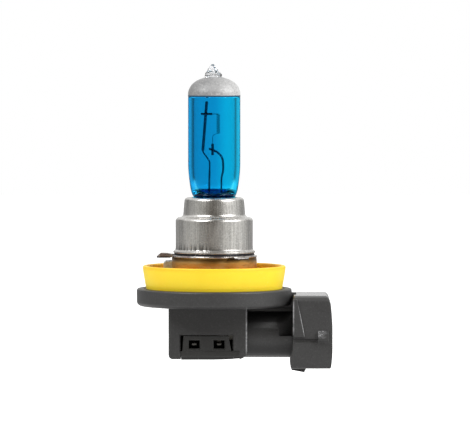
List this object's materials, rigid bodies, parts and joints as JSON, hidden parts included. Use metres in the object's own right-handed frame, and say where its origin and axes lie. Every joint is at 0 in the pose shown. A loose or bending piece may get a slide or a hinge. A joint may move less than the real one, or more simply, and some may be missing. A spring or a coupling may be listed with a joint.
{
  "type": "headlight bulb",
  "caption": "Halogen headlight bulb: blue quartz glass with a grey anti-glare cap, stepped steel can on a lugged bayonet cap, yellow lip seal, and a right-angle plug-in base.",
  "frame": {"origin": "on the bulb axis, in the plane of the three lugs' undersides, which is the cap's reference plane", "axes": "+Z along the bulb axis towards the glass tip, +X towards the connector's mouth; the terminal cover faces -Y"},
  "size_m": [0.0431, 0.0342, 0.0679],
  "materials": {
    "blue_quartz": "polished quartz glass, tinted blue",
    "clear_quartz": "clear fire-polished quartz glass",
    "grey_coat": "matt light grey heat-resistant coat, finely speckled",
    "tungsten": "dark drawn wire",
    "molybdenum": "dark grey drawn wire and foil",
    "lead_steel": "plain drawn wire",
    "spring_steel": "bright spring steel strip",
    "can_steel": "deep-drawn steel with fine upright draw lines",
    "sleeve_steel": "drawn steel, satin",
    "yellow_silicone": "moulded silicone, satin",
    "base_plastic": "dark grey glass-filled nylon, finely textured",
    "cover_plastic": "dark grey nylon",
    "terminal_metal": "tin-plated brass"
  },
  "bodies": {
    "root": {"glass_envelope": "blue_quartz", "exhaust_tip": "clear_quartz", "antiglare_cap": "grey_coat", "filament_coil": "tungsten", "long_lead_wire": "molybdenum", "short_lead_wire": "molybdenum", "upper_leg_sleeve": "molybdenum", "lower_leg_sleeve": "molybdenum", "pinch_foil_left": "molybdenum", "pinch_foil_right": "molybdenum", "outer_lead_left": "lead_steel", "outer_lead_right": "lead_steel", "pinch_clip": "spring_steel", "clip_collar": "spring_steel", "metal_can": "can_steel", "lug_ring": "can_steel", "cap_sleeve": "sleeve_steel", "seal_ring": "yellow_silicone", "base_housing": "base_plastic", "terminal_cover": "cover_plastic", "terminal_left": "terminal_metal", "terminal_right": "terminal_metal"}
  },
  "joints": []
}
